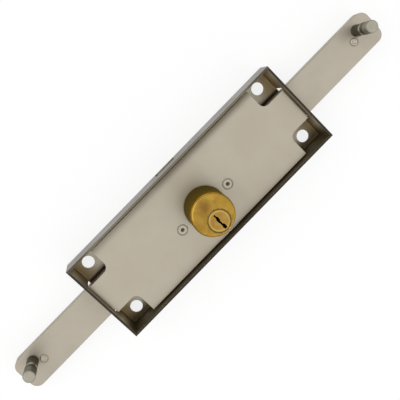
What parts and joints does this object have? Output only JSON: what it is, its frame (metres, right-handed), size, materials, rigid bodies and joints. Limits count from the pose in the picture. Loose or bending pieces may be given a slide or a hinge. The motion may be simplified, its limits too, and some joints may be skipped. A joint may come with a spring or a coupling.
{
  "type": "roller shutter lock",
  "caption": "Flat steel case with a raised cover plate, a round brass key cylinder and a sliding rod with an upright stud leaving each end.",
  "frame": {"origin": "centre of the case's back face", "axes": "+X along the lock towards the right rod, +Y across it away from the keyway side, +Z out of the front towards the key"},
  "size_m": [0.2848, 0.054, 0.0456],
  "materials": {
    "case_steel": "plated",
    "cover_steel": "plated",
    "pillar_steel": "plain",
    "pad_nylon": "plain",
    "rod_steel": "plated",
    "stud_steel": "turned",
    "rivet_steel": "plain",
    "body_brass": "satin",
    "plug_brass": "satin",
    "pin_brass": "plain",
    "pin_steel": "plain",
    "pinion_steel": "plain",
    "screw_steel": "plated"
  },
  "bodies": {
    "case": {"case_tray": "case_steel", "cover_plate": "cover_steel", "cover_pillars": "pillar_steel", "guide_pillar_left": "pillar_steel", "guide_pillar_right": "pillar_steel", "slide_pad_left": "pad_nylon", "slide_pad_right": "pad_nylon", "hold_down_left": "pad_nylon", "hold_down_right": "pad_nylon", "cylinder_body": "body_brass", "driver_pins": "pin_steel", "driver_springs": "pin_steel", "tail_bush": "pin_brass", "cylinder_screws": "screw_steel"},
    "plug": {"cylinder_plug": "plug_brass", "key_pins": "pin_brass", "plug_circlip": "pin_steel", "drive_pinion": "pinion_steel"},
    "left_rod": {"rod_left": "rod_steel", "stud_left": "stud_steel", "rivet_left": "rivet_steel"},
    "right_rod": {"rod_right": "rod_steel", "stud_right": "stud_steel", "rivet_right": "rivet_steel"}
  },
  "joints": [
    {"name": "key_turn", "type": "hinge", "parent": "case", "child": "plug", "pos_m": [0, -0.0087, 0.03], "axis": [0, 0, 1], "range_deg": [0, 360]},
    {"name": "left_slide", "type": "slide", "parent": "case", "child": "left_rod", "axis": [-1, 0, 0], "range_m": [0, 0.02513]},
    {"name": "right_slide", "type": "slide", "parent": "case", "child": "right_rod", "axis": [1, 0, 0], "range_m": [0, 0.02513]}
  ],
  "couplings": [
    {"joint": "key_turn", "follows": "left_slide", "rad_per_m": 250},
    {"joint": "right_slide", "follows": "left_slide", "ratio": 1}
  ]
}
